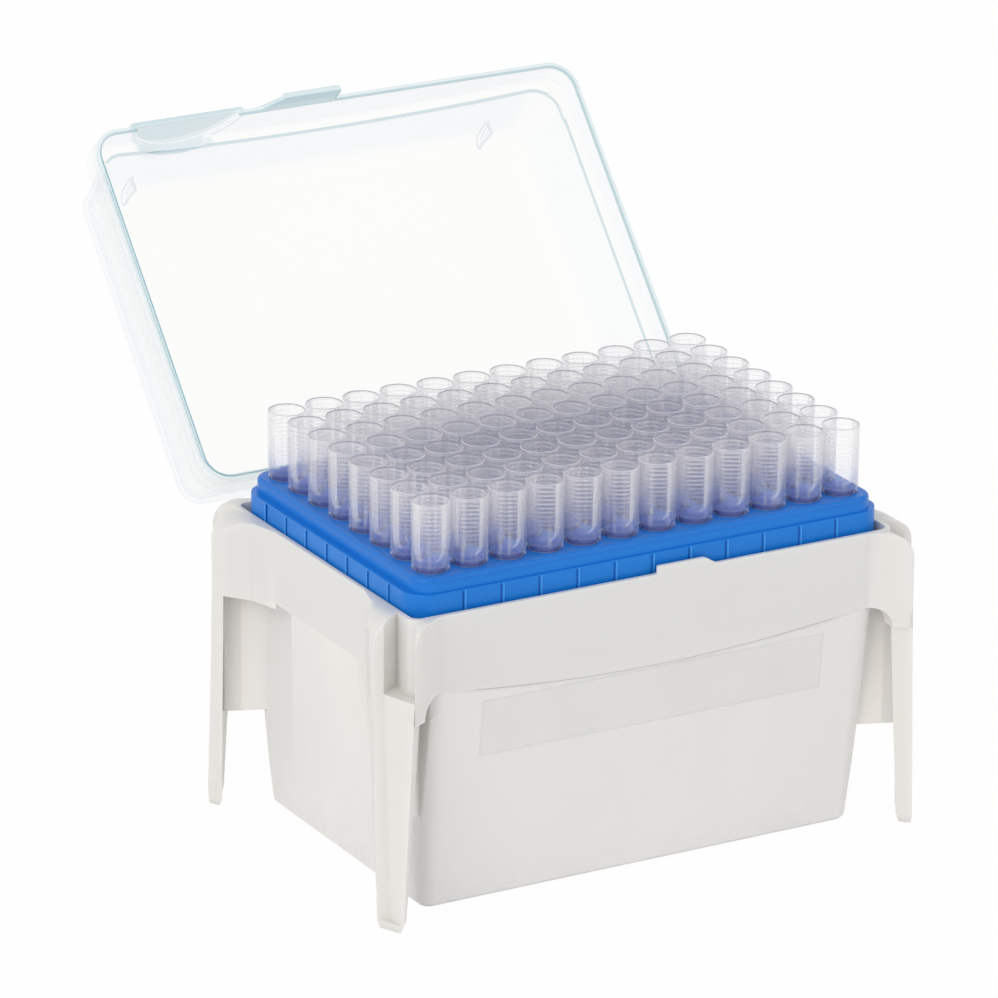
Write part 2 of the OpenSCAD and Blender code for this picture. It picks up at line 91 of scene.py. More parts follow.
class Signal:
    """A socket that Python's operators turn into Math nodes."""

    def __init__(self, shader: "Shader", socket: bpy.types.NodeSocket) -> None:
        """Wraps one output socket.

        Args:
            shader: the shader whose tree the socket is in.
            socket: the socket.
        """
        self.shader = shader
        self.socket = socket

    def _math(self, operation: str, *values: "Signal | float") -> "Signal":
        """Adds one Math node.

        Args:
            operation: the Math node's operation.
            values: its inputs, in order.

        Returns:
            The node's output.
        """
        return self.shader.node("ShaderNodeMath", {"operation": operation}, dict(enumerate(values)))

    def __add__(self, other: "Signal | float") -> "Signal":
        """Sum."""
        return self._math("ADD", self, other)

    def __radd__(self, other: float) -> "Signal":
        """Sum with a number in front."""
        return self._math("ADD", other, self)

    def __sub__(self, other: "Signal | float") -> "Signal":
        """Difference."""
        return self._math("SUBTRACT", self, other)

    def __rsub__(self, other: float) -> "Signal":
        """A number less this."""
        return self._math("SUBTRACT", other, self)

    def __mul__(self, other: "Signal | float") -> "Signal":
        """Product."""
        return self._math("MULTIPLY", self, other)

    def __pow__(self, other: float) -> "Signal":
        """Power."""
        return self._math("POWER", self, other)

    def __abs__(self) -> "Signal":
        """Size without its sign."""
        return self._math("ABSOLUTE", self)

    def above(self, edge: float, soft: float) -> "Signal":
        """Rises smoothly from 0 to 1 round an edge.

        Args:
            edge: the value in the middle of the rise.
            soft: half of the rise's width.

        Returns:
            The mask.
        """
        return self.shader.node(
            "ShaderNodeMapRange",
            {"interpolation_type": "SMOOTHSTEP"},
            {"Value": self, "From Min": edge - soft, "From Max": edge + soft, "To Min": 0.0, "To Max": 1.0},
        )

    def below(self, edge: float, soft: float) -> "Signal":
        """Falls smoothly from 1 to 0 round an edge.

        Args:
            edge: the value in the middle of the fall.
            soft: half of the fall's width.

        Returns:
            The mask.
        """
        return 1.0 - self.above(edge, soft)

    def near(self, value: float, half: float, soft: float) -> "Signal":
        """Is 1 within a distance of a value and 0 beyond it.

        Args:
            value: the value.
            half: the distance at which the mask is a half.
            soft: half of the width of its edge.

        Returns:
            The mask.
        """
        return abs(self - value).below(half, soft)

    def swing(self, share: float) -> "Signal":
        """Moves a pattern so that it varies about 0.

        Args:
            share: how far it may swing, from its lowest to its highest.

        Returns:
            The swing.
        """
        return (self - 0.5) * share

    def fraction(self) -> "Signal":
        """What is left above the whole number below it."""
        return self._math("FRACT", self)

    def most(self, other: "Signal | float") -> "Signal":
        """The larger of two.

        Args:
            other: what this is compared with.

        Returns:
            The larger.
        """
        return self._math("MAXIMUM", self, other)

    def least(self, other: "Signal | float") -> "Signal":
        """The smaller of two.

        Args:
            other: what this is compared with.

        Returns:
            The smaller.
        """
        return self._math("MINIMUM", self, other)


class Shader:
    """The node tree of a material or of the world, with one method that makes its nodes."""

    def __init__(self, owner: bpy.types.Material | bpy.types.World) -> None:
        """Empties the owner's tree.

        Args:
            owner: the new material or world.
        """
        owner.use_nodes = True
        self.owner = owner
        self.tree = owner.node_tree
        self.tree.nodes.clear()

    def node(
        self, kind: str, settings: dict | None = None, inputs: dict | None = None, out: int | str = 0
    ) -> Signal:
        """Adds a node.

        Args:
            kind: the node's type.
            settings: attributes that are set first.
            inputs: values or links, by the socket's name or number.
            out: the output socket that is handed back.

        Returns:
            The chosen output.
        """
        made = self.tree.nodes.new(kind)
        for key, value in (settings or {}).items():
            setattr(made, key, value)
        for key, value in (inputs or {}).items():
            if isinstance(value, Signal):
                self.tree.links.new(value.socket, made.inputs[key])
            elif value is not None:
                made.inputs[key].default_value = value
        return Signal(self, made.outputs[out])

    def place(self) -> tuple[Signal, Signal, Signal, Signal]:
        """Object coordinates, whole and split into x, y and z."""
        point = self.node("ShaderNodeTexCoord", out="Object")
        split = self.node("ShaderNodeSeparateXYZ", inputs={0: point}).socket.node
        return (point, *(Signal(self, split.outputs[i]) for i in range(3)))

    def noise(self, point: Signal, pattern: Pattern) -> Signal:
        """Reads a pattern.

        Args:
            point: where it is read.
            pattern: the pattern.

        Returns:
            A value between 0 and 1.
        """
        if pattern.stretch:
            point = self.node("ShaderNodeMapping", inputs={"Vector": point, "Scale": pattern.stretch})
        size = {"Scale": pattern.scale, "Detail": pattern.detail}
        return self.node("ShaderNodeTexNoise", inputs={"Vector": point, **size})

    def blend(self, mask: Signal | float, low: Signal | tuple, high: Signal | tuple) -> Signal:
        """Colour between two others.

        Args:
            mask: 0 gives the first, 1 the second.
            low: first colour.
            high: second colour.

        Returns:
            The colour.
        """
        pair = [c if isinstance(c, Signal) else (*c, 1.0) for c in (low, high)]
        return self.node("ShaderNodeMix", {"data_type": "RGBA"}, {0: mask, 6: pair[0], 7: pair[1]}, out=2)

    def facing(self) -> Signal:
        """Is 0 where a surface is seen square on and 1 where it is seen edge on."""
        return self.node("ShaderNodeLayerWeight", inputs={"Blend": 0.5}, out="Facing")

    def seen(self) -> Signal:
        """Is 1 on rays that reach the camera straight, mirrored or through glass, 0 on scattered ones."""
        path = self.node("ShaderNodeLightPath").socket.node
        straight, mirrored, passed = (
            Signal(self, path.outputs[name])
            for name in ("Is Camera Ray", "Is Glossy Ray", "Is Transmission Ray")
        )
        return (straight + mirrored + passed).least(1.0)

    def outline(self, x: Signal, y: Signal, half: tuple, radius: float) -> Signal:
        """Distance outside a rectangle with round corners, less than 0 inside it.

        Args:
            x: place along the first side, from the middle.
            y: place along the second side, from the middle.
            half: the rectangle's half sides.
            radius: its corners' radius.

        Returns:
            The distance.
        """
        over_x = abs(x) - (half[0] - radius)
        over_y = abs(y) - (half[1] - radius)
        corner = (over_x.most(0.0) ** 2.0 + over_y.most(0.0) ** 2.0) ** 0.5
        return corner + over_x.most(over_y).least(0.0) - radius

    def bump(self, height: Signal, strength: float, reach: float, under: Signal | None = None) -> Signal:
        """Normal from a height.

        Args:
            height: the height, 0 to 1.
            strength: share of the effect.
            reach: the height in metres that 1 stands for.
            under: a normal that this one is laid on.

        Returns:
            The normal.
        """
        return self.node(
            "ShaderNodeBump",
            inputs={"Height": height, "Strength": strength, "Distance": reach, "Normal": under},
        )

    def end(
        self, shader: Signal, kind: str = "ShaderNodeOutputMaterial"
    ) -> bpy.types.Material | bpy.types.World:
        """Adds the output node.

        Args:
            shader: the surface or background that the tree ends at.
            kind: the output node's type.

        Returns:
            The material or world, finished.
        """
        made = self.tree.nodes.new(kind)
        self.tree.links.new(shader.socket, made.inputs[0])
        return self.owner


# ---- Finishes ----
#
# A pair whose name ends in "_at" says where a mask begins and how softly: a place in metres or a
# pattern's value, then half of the width of the rise. A "_bump" is a bump's strength and height.
# A "_share" says how far a mask counts, a "_rough" how far a pattern moves the roughness, and an
# "_alpha" how far a part hides what is behind it.


@dataclass(frozen=True)
class WhitePlastic:
    """White polypropylene with a fine matt skin, a little light passing through it."""

    neutral: tuple = (0.805, 0.793, 0.782)
    # The cream below is painted light on the end walls, and random warm tone elsewhere
    cream: tuple = (0.880, 0.835, 0.775)
    shade: tuple = (0.750, 0.742, 0.730)
    # The colour below is painted shade on the band and the legs
    thick_shade: tuple = (0.745, 0.733, 0.708)
    dust: tuple = (0.66, 0.645, 0.61)
    cloud: Pattern = Pattern(22.0, 3.0)
    flow: Pattern = Pattern(34.0, 4.0, (1.0, 1.0, 0.25))
    specks: Pattern = Pattern(260.0, 5.0)
    grain: Pattern = Pattern(2600.0)
    scuffs: Pattern = Pattern(420.0, 3.0, (1.0, 1.0, 0.05))
    waves: Pattern = Pattern(60.0)
    cloud_at: tuple = (0.52, 0.16)
    flow_at: tuple = (0.56, 0.12)
    specks_at: tuple = (0.5, 0.2)
    scuffs_at: tuple = (0.66, 0.05)
    side_at: tuple = (56.0 * MM, 6.0 * MM)
    wall_at: tuple = (51.2 * MM, 1.2 * MM)
    band_at: tuple = (51.2 * MM, 0.3 * MM)
    end_at: tuple = (58.8 * MM, 0.3 * MM)
    front_at: tuple = (40.0 * MM, 0.12 * MM)
    dust_at: tuple = (5.0 * MM, 6.0 * MM)
    side_share: float = 0.75
    cloud_share: float = 0.35
    flow_share: float = 0.30
    dust_share: float = 0.22
    roughness: float = 0.36
    cloud_rough: float = 0.16
    grain_rough: float = 0.05
    scuff_rough: float = 0.10
    grain_bump: tuple = (0.35, 0.03 * MM)
    wave_bump: tuple = (0.5, 0.16 * MM)
    glow_depth: tuple = (3.4, 3.1, 2.7)
    glow_share: float = 0.35

    def make(self) -> bpy.types.Material:
        """Returns the material."""
        s = Shader(bpy.data.materials.new("white_polypropylene"))
        point, x, y, z = s.place()
        cloud = s.noise(point, self.cloud)
        flow = s.noise(point, self.flow)
        # Painted light: both end walls are painted creamier, as if lit by warm light; the cloud adds tone
        # that differs at random
        side = abs(x).above(*self.side_at)
        side_light_and_cloud = (side * self.side_share + cloud.above(*self.cloud_at) * self.cloud_share).least(1.0)
        colour = s.blend(side_light_and_cloud, self.neutral, self.cream)
        # Painted shade: where the wall is thin, the shaded hollow behind it is painted on as a faint grey
        # cloud
        hollow_shade = flow.above(*self.flow_at) * z.below(*self.wall_at) * self.flow_share
        colour = s.blend(hollow_shade, colour, self.shade)
        # Painted shade: the band and the legs are painted darker, as their thicker walls pass less light
        # than the wall
        outer = abs(y).above(*self.front_at).most(abs(x).above(*self.end_at))
        colour = s.blend(outer.most(z.above(*self.band_at)), colour, self.thick_shade)
        # Dust settles in the lowest few millimetres
        settled = z.below(*self.dust_at) * s.noise(point, self.specks).above(*self.specks_at)
        colour = s.blend(settled * self.dust_share, colour, self.dust)
        grain = s.noise(point, self.grain)
        scuff = s.noise(point, self.scuffs).above(*self.scuffs_at)
        rough = self.roughness + cloud.swing(self.cloud_rough) + grain * self.grain_rough
        normal = s.bump(grain, *self.grain_bump)
        normal = s.bump(s.noise(point, self.waves), *self.wave_bump, normal)
        surface = {
            "Base Color": colour,
            "Roughness": rough + scuff * self.scuff_rough,
            "IOR": POLYPROPYLENE,
            "Subsurface Weight": self.glow_share,
            "Subsurface Radius": self.glow_depth,
            "Subsurface Scale": MM,
            "Normal": normal,
        }
        return s.end(s.node(PLASTIC, {"subsurface_method": "RANDOM_WALK"}, surface))


@dataclass(frozen=True)
class BluePlastic:
    """Blue polypropylene, smooth, with the grain of the mould.

    A rib's edge has a painted highlight and its side a painted shadow. Both are lines, given by their
    place beside the rib's middle, their half width and their softness.
    """

    # Deep and light blue below are the deck's painted shade and the walls' painted light
    deep: tuple = (0.003, 0.157, 0.595)
    light: tuple = (0.004, 0.190, 0.655)
    # The pale blue below is a painted highlight on the ribs' edges, the next one a painted shadow beside
    # them
    pale: tuple = (0.060, 0.340, 0.860)
    rib_shadow_blue: tuple = (0.001, 0.070, 0.330)
    fleck: tuple = (0.020, 0.260, 0.80)
    cloud: Pattern = Pattern(30.0, 3.0)
    grain: Pattern = Pattern(1500.0, 4.0)
    fleck_at: tuple = (0.62, 0.10)
    deck_at: tuple = (73.3 * MM, 0.8 * MM)
    wall_at: tuple = (71.3 * MM, 0.2 * MM)
    skirt: tuple = (56.9 * MM, 38.0 * MM)
    pitch: float = 9.0 * MM
    rib_highlight_line: tuple = (0.16 * MM, 0.22 * MM, 0.10 * MM)
    rib_shadow_line: tuple = (-0.42 * MM, 0.16 * MM, 0.12 * MM)
    wall_share: float = 0.85
    deck_share: float = 0.75
    cloud_share: float = 0.6
    fleck_share: float = 0.16
    rib_share: float = 0.8
    roughness: float = 0.34
    cloud_rough: float = 0.12
    grain_rough: float = 0.16
    grain_bump: tuple = (0.5, 0.035 * MM)
    shine: float = 0.32

    def make(self) -> bpy.types.Material:
        """Returns the material."""
        s = Shader(bpy.data.materials.new("blue_polypropylene"))
        point, x, y, z = s.place()
        cloud = s.noise(point, self.cloud)
        # Painted light: the skirt's walls are painted lighter blue and the deck darker; the cloud adds tone
        # that differs at random
        deck = z.above(*self.deck_at)
        painted_light_and_cloud = self.wall_share - deck * self.deck_share + cloud.swing(self.cloud_share)
        colour = s.blend(painted_light_and_cloud.least(1.0).most(0.0), self.deep, self.light)
        grain = s.noise(point, self.grain)
        colour = s.blend(grain.above(*self.fleck_at) * self.fleck_share, colour, self.fleck)
        # Ribs stand on the skirt at every pitch, each with a painted highlight on its edge and a painted
        # shadow beside it
        wall = z.below(*self.wall_at)
        for along, across, face in ((x, y, self.skirt[1]), (y, x, self.skirt[0])):
            offset = ((along * (1.0 / self.pitch) + 0.5).fraction() - 0.5) * self.pitch
            here = wall * abs(across).above(face - 0.2 * MM, 0.1 * MM)
            colour = s.blend(offset.near(*self.rib_highlight_line) * here * self.rib_share, colour, self.pale)
            colour = s.blend(offset.near(*self.rib_shadow_line) * here * self.rib_share, colour, self.rib_shadow_blue)
        rough = self.roughness + cloud.swing(self.cloud_rough) + grain.swing(self.grain_rough)
        surface = {
            "Base Color": colour,
            "Roughness": rough,
            "IOR": POLYPROPYLENE,
            "Specular IOR Level": self.shine,
            "Normal": s.bump(grain, *self.grain_bump),
        }
        return s.end(s.node(PLASTIC, inputs=surface))


class Zone(Enum):
    """Where a point of a tip lies on its outline, as the second texture coordinate."""

    CONE = 0.05
    SEAT = 0.25
    COLLAR = 0.40
    LIP_OUT = 0.52
    LIP_IN = 0.62
    BORE = 0.75
    STEP = 0.87
    INSIDE = 0.97


@dataclass(frozen=True)
class ClearTip:
    """Clear polypropylene of a tip: milky in the mass; painted blue light from the plate near its foot,
    painted highlights, and painted violet shade on the step and cone.

    Heights are shares of the collar's height above the deck.
    """

    mass: tuple = (0.98, 0.93, 0.98)
    crown: tuple = (0.99, 0.955, 0.945)
    # The blue below is painted light from the plate
    blue_from_plate: tuple = (0.40, 0.51, 0.99)
    # The white below is the colour of the painted highlights
    bright: tuple = (0.97, 0.97, 0.99)
    lip: tuple = (0.72, 0.71, 0.79)
    ring: tuple = (0.22, 0.22, 0.30)
    # The violet below is painted shade
    violet_shade: tuple = (0.14, 0.18, 0.60)
    deck_z: float = 74.7 * MM
    collar_h: float = 15.1 * MM
    streaks: Pattern = Pattern(1100.0, 0.0, (1.0, 1.0, 0.02))
    threads: float = 340.0
    streaks_at: tuple = (0.64, 0.07)
    streak_foot_at: tuple = (0.08, 0.08)
    threads_at: tuple = (0.82, 0.15)
    thread_foot_at: tuple = (0.42, 0.30)
    crown_at: tuple = (0.55, 0.45)
    foot_at: tuple = (0.30, 0.28)
    streak_share: float = 0.9
    thread_share: float = 0.8
    facing_alpha: float = 0.040
    edge_alpha: float = 0.32
    foot_alpha: float = 0.07
    streak_alpha: float = 0.08
    thread_alpha: float = 0.17
    lip_alpha: float = 0.52
    ring_alpha: float = 0.50
    seat_alpha: float = 0.50
    step_alpha: float = 0.70
    cone_alpha: float = 0.60
    roughness: float = 0.16
    gloss: float = 0.35
    gloss_rough: float = 0.12
    dull: float = 0.8

    def make(self) -> bpy.types.Material:
        """Returns the material."""
        s = Shader(bpy.data.materials.new("clear_polypropylene"))
        point, _, _, z = s.place()
        zone = s.node("ShaderNodeSeparateXYZ", inputs={0: s.node("ShaderNodeTexCoord", out="UV")}, out=1)
        lip = zone.near(Zone.LIP_OUT.value, 0.05, 0.015)
        ring = zone.near(Zone.LIP_IN.value, 0.05, 0.015)
        seat = zone.near(Zone.SEAT.value, 0.05, 0.02)
        step = zone.near(Zone.STEP.value, 0.06, 0.02)
        cone = zone.near(Zone.CONE.value, 0.10, 0.02).most(zone.near(Zone.INSIDE.value, 0.03, 0.01))
        rise = (z - self.deck_z) * (1.0 / self.collar_h)
        # Painted highlights: light along the wall in streaks, and round it in fine rings near the mouth
        streak_highlight = s.noise(point, self.streaks).above(*self.streaks_at) * rise.above(*self.streak_foot_at)
        rings = s.node(
            "ShaderNodeTexWave",
            {"wave_type": "BANDS", "bands_direction": "Z", "wave_profile": "SIN"},
            {"Vector": point, "Scale": self.threads, "Distortion": 0.0, "Detail": 0.0},
        )
        thread_highlight = rings.above(*self.threads_at) * rise.above(*self.thread_foot_at)
        # Painted light: the plate's blue light on the lower collar
        blue_from_plate = rise.below(*self.foot_at)
        # Painted highlights of the streaks, the rings and the seat, in the bright colour
        light = (streak_highlight * self.streak_share).most(thread_highlight * self.thread_share).most(seat)
        colour = s.blend(rise.above(*self.crown_at), self.mass, self.crown)
        colour = s.blend(blue_from_plate, colour, self.blue_from_plate)
        colour = s.blend(light, colour, self.bright)
        colour = s.blend(lip, colour, self.lip)
        colour = s.blend(ring, colour, self.ring)
        # Painted shade: the inner step and the cone down in the plate are painted violet
        colour = s.blend(step.most(cone), colour, self.violet_shade)
        alpha = (s.facing() ** 3.0) * self.edge_alpha + self.facing_alpha
        alpha = alpha + blue_from_plate * self.foot_alpha + streak_highlight * self.streak_alpha + thread_highlight * self.thread_alpha
        for part, least in (
            (lip, self.lip_alpha),
            (ring, self.ring_alpha),
            (seat, self.seat_alpha),
            (step, self.step_alpha),
            (cone, self.cone_alpha),
        ):
            alpha = alpha.most(part * least)
        surface = {
            "Base Color": colour,
            "Roughness": self.roughness,
            "IOR": POLYPROPYLENE,
            "Alpha": alpha.least(1.0),
        }
        clear = s.node(PLASTIC, inputs=surface)
        shine = s.node("ShaderNodeBsdfGlossy", inputs={"Color": WHITE, "Roughness": self.gloss_rough})
        skin = s.node("ShaderNodeFresnel", inputs={"IOR": POLYPROPYLENE})
        share = skin * (1.0 - step.most(cone) * self.dull) * self.gloss
        return s.end(s.node("ShaderNodeMixShader", inputs={0: share, 1: clear, 2: shine}))


@dataclass(frozen=True)
class ClearLid:
    """Clear polystyrene of the lid. Its edges gather light and look teal.

    Sizes are those of the shut lid: the rim's inner edge, the shell above it with its ledge, the
    arch of the ledge at the front, the ribs, and the round thumb pad at the front. A line is
    given by its half width and its softness.
    """

    tint: tuple = (0.78, 0.80, 0.60)
    grey: tuple = (0.60, 0.68, 0.80)
    teal: tuple = (0.060, 0.370, 0.470)
    pale: tuple = (0.30, 0.60, 0.68)
    pad: tuple = (0.28, 0.56, 0.66)
    hinge: tuple = (44.8 * MM, 68.0 * MM)
    open_deg: float = 131.8
    rim_at: tuple = (68.4 * MM, 0.2 * MM)
    inner: tuple = (59.2 * MM, 41.2 * MM)
    corner: float = 5.3 * MM
    shell: tuple = (57.0 * MM, 39.0 * MM)
    shell_corner: float = 5.8 * MM
    ledge_z: float = 73.3 * MM
    arch_at: tuple = (-30.0 * MM, 1.0 * MM)
    arch_h: float = 4.5 * MM
    arch_r: float = 407.0 * MM
    rib_x: float = 45.0 * MM
    rib_at: tuple = (83.3 * MM, 1.0 * MM)
    pad_middle: tuple = (-36.2 * MM, 66.3 * MM)
    pad_edge_at: tuple = (13.8 * MM, 0.3 * MM)
    pad_front_at: tuple = (-38.6 * MM, 0.4 * MM)
    rim_line: tuple = (0.45 * MM, 0.15 * MM)
    ledge_line: tuple = (0.40 * MM, 0.15 * MM)
    ledge_height: tuple = (0.45 * MM, 0.2 * MM)
    rib_line: tuple = (0.8 * MM, 0.2 * MM)
    cloud: Pattern = Pattern(24.0, 3.0)
    waves: Pattern = Pattern(90.0)
    wall_at: tuple = (0.35, 0.25)
    edge_alpha: float = 0.08
    edge_rim_alpha: float = 0.14
    edge_rib_alpha: float = 0.30
    edge_facing_alpha: float = 0.08
    wall_alpha: float = 0.040
    wall_rim_alpha: float = 0.16
    wall_pad_alpha: float = 0.16
    wall_facing_alpha: float = 0.17
    wall_cloud_alpha: float = 0.02
    rim_line_alpha: float = 0.50
    ledge_line_alpha: float = 0.34
    roughness: float = 0.07
    index: float = 1.55
    wave_bump: tuple = (0.3, 0.08 * MM)

    def shut(self, y: Signal, z: Signal) -> tuple[Signal, Signal]:
        """The place that a point of the open lid has when the lid is shut.

        Args:
            y: y of the open lid.
            z: z of the open lid.

        Returns:
            y and z of the shut lid: the open one turned back about the hinge.
        """
        turn = math.radians(self.open_deg)
        dy, dz = y - self.hinge[0], z - self.hinge[1]
        return (
            dy * math.cos(turn) - dz * math.sin(turn) + self.hinge[0],
            dy * math.sin(turn) + dz * math.cos(turn) + self.hinge[1],
        )

    def make(self, edge: bool) -> bpy.types.Material:
        """Makes the clear wall, or its rounded edges.

        Args:
            edge: True for the edges.

        Returns:
            The material.
        """
        s = Shader(bpy.data.materials.new("clear_lid_edge" if edge else "clear_lid_wall"))
        point, x, y, z = s.place()
        sy, sz = self.shut(y, z)
        facing = s.facing()
        cloud = s.noise(point, self.cloud)
        # The rim's inner edge and the ledge's inner edge gather the colour of the mass
        at_rim = sz.below(*self.rim_at)
        rim_line = s.outline(x, sy, self.inner, self.corner).near(0.0, *self.rim_line) * at_rim
        arch = sy.below(*self.arch_at) * (self.arch_h - x * x * (0.5 / self.arch_r))
        shell = s.outline(x, sy, self.shell, self.shell_corner)
        ledge_line = shell.near(0.0, *self.ledge_line)
        ledge_line = ledge_line * (sz - arch).near(self.ledge_z, *self.ledge_height)
        line = rim_line.most(ledge_line)
        if edge:
            rib = abs(x).near(self.rib_x, *self.rib_line) * shell.below(0.0, 0.3 * MM)
            rib = rib * sz.above(*self.rib_at)
            colour = s.blend(line, s.blend(at_rim, self.grey, self.pale), self.teal)
            alpha = at_rim * self.edge_rim_alpha + self.edge_alpha + rib * self.edge_rib_alpha
            alpha = alpha + (facing ** 2.0) * self.edge_facing_alpha
        else:
            across, up = x - self.pad_middle[0], sz - self.pad_middle[1]
            pad = ((across ** 2.0 + up ** 2.0) ** 0.5).below(*self.pad_edge_at)
            pad = pad * sy.below(*self.pad_front_at)
            wall = facing.above(*self.wall_at)
            colour = s.blend(wall, self.tint, self.grey)
            colour = s.blend(at_rim, colour, self.pale)
            colour = s.blend(line, s.blend(pad, colour, self.pad), self.teal)
            alpha = self.wall_alpha + at_rim * self.wall_rim_alpha + pad * self.wall_pad_alpha
            alpha = alpha + (facing ** 3.0) * self.wall_facing_alpha + cloud.swing(self.wall_cloud_alpha)
        alpha = alpha.most(rim_line * self.rim_line_alpha).most(ledge_line * self.ledge_line_alpha)
        surface = {
            "Base Color": colour,
            "Roughness": self.roughness,
            "IOR": self.index,
            "Alpha": alpha.least(1.0).most(0.0),
            "Normal": s.bump(s.noise(point, self.waves), *self.wave_bump),
        }
        return s.end(s.node(PLASTIC, inputs=surface))


@dataclass(frozen=True)
class LabelFilm:
    """Blank clear film, a little yellower than the wall, with a cut edge."""

    film: tuple = (0.74, 0.725, 0.69)
    cut: tuple = (0.68, 0.67, 0.64)
    half: tuple = (41.5 * MM, 6.46 * MM)
    middle_z: float = 40.23 * MM
    cut_at: tuple = (-0.35 * MM, 0.2 * MM)
    cloud: Pattern = Pattern(70.0, 3.0)
    waves: Pattern = Pattern(160.0)
    alpha: float = 0.05
    cloud_alpha: float = 0.05
    cut_alpha: float = 0.05
    roughness: float = 0.18
    cloud_rough: float = 0.1
    index: float = 1.5
    wave_bump: tuple = (0.3, 0.05 * MM)

    def make(self) -> bpy.types.Material:
        """Returns the material."""
        s = Shader(bpy.data.materials.new("clear_film"))
        point, x, _, z = s.place()
        cloud = s.noise(point, self.cloud)
        inside = (abs(x) - self.half[0]).most(abs(z - self.middle_z) - self.half[1])
        border = inside.above(*self.cut_at)
        alpha = self.alpha + cloud.swing(self.cloud_alpha) + border * self.cut_alpha
        surface = {
            "Base Color": s.blend(border, self.film, self.cut),
            "Roughness": self.roughness + cloud * self.cloud_rough,
            "IOR": self.index,
            "Alpha": alpha,
            "Normal": s.bump(s.noise(point, self.waves), *self.wave_bump),
        }
        return s.end(s.node(PLASTIC, inputs=surface))


@dataclass(frozen=True)
class PaleStage:
    """Floor that looks white, with a little of the object's shadow left in it."""

    glow: float = 0.97
    grey: tuple = (0.92, 0.92, 0.92, 1.0)

    def make(self) -> bpy.types.Material:
        """Returns the material."""
        s = Shader(bpy.data.materials.new("pale_floor"))
        seen = s.seen()
        matt = s.node("ShaderNodeBsdfDiffuse", inputs={"Color": self.grey})
        bright = s.node("ShaderNodeEmission", inputs={"Color": WHITE, "Strength": 1.0})
        return s.end(s.node("ShaderNodeMixShader", inputs={0: seen * self.glow, 1: matt, 2: bright}))


# ---- Mesh tools ----

# Corners closer than this are one, in metres
WELD = 2e-6
# Faces that turn from each other by less than this are one, in degrees
FLAT_DEG = 0.6
# Edges shorter than this are taken out
SHORTEST_EDGE = 0.1 * MM
# Share of the shortest neighbour that a rounding may take
ROOM_SHARE = 0.45
# Roundings smaller than this share are left out
LEAST_ROUNDING = 0.06
# A triangle faces the wrong way when twice its area, with its sign, is below this, in square metres
FOLD_AREA = -2e-10
# Keep a vertex whose faces have no area from dividing by nothing
LEAST_SHARE = 1e-18
LEAST_LENGTH = 1e-15


def attribute(rows: bpy.types.bpy_prop_collection, name: str, width: int, kind: type) -> np.ndarray:
    """Gets one attribute of all rows of a mesh.

    Args:
        rows: its vertices, edges, corners, faces or triangles.
        name: the attribute.
        width: numbers in one row.
        kind: the type of the numbers.

    Returns:
        An array with one line for each row, or a flat one where the width is 1.
    """
    values = np.empty(len(rows) * width, kind)
    rows.foreach_get(name, values)
    return values.reshape(-1, width) if width > 1 else values


def grid_quads(rows: int, columns: int, count: int) -> np.ndarray:
    """Faces of grids that close on themselves both ways.

    Args:
        rows: points along the first parameter.
        columns: points along the second.
        count: number of grids, one after another.

    Returns:
        The corners of the quads: (i, j), (i, j+1), (i+1, j+1), (i+1, j), all counted round.
    """
    i, j = np.meshgrid(np.arange(rows), np.arange(columns), indexing="ij")
    up, right = (i + 1) % rows, (j + 1) % columns
    corners = [i * columns + j, i * columns + right, up * columns + right, up * columns + j]
    one = np.stack(corners, -1).reshape(-1, 4)
    return (one[None] + (np.arange(count) * rows * columns)[:, None, None]).reshape(-1, 4)


def mesh_piece(
    name: str, points: np.ndarray, quads: np.ndarray, zones: np.ndarray | None = None
) -> bpy.types.Object:
    """Puts points and quads into a smooth object.

    Args:
        name: the piece's name.
        points: n by 3.
        quads: m by 4.
        zones: texture coordinates of the points, n by 2.

    Returns:
        The object, at the origin.
    """
    mesh = bpy.data.meshes.new(name)
    mesh.vertices.add(len(points))
    mesh.vertices.foreach_set("co", points.astype(np.float32).ravel())
    mesh.loops.add(quads.size)
    mesh.loops.foreach_set("vertex_index", quads.astype(np.int32).ravel())
    mesh.polygons.add(len(quads))
    mesh.polygons.foreach_set("loop_start", np.arange(0, quads.size, 4, dtype=np.int32))
    mesh.polygons.foreach_set("use_smooth", np.ones(len(quads), bool))
    if zones is not None:
        layer = mesh.uv_layers.new(name="zones")
        layer.data.foreach_set("uv", zones[quads.ravel()].astype(np.float32).ravel())
    mesh.update(calc_edges=True)
    piece = bpy.data.objects.new(name, mesh)
    bpy.context.scene.collection.objects.link(piece)
    return piece


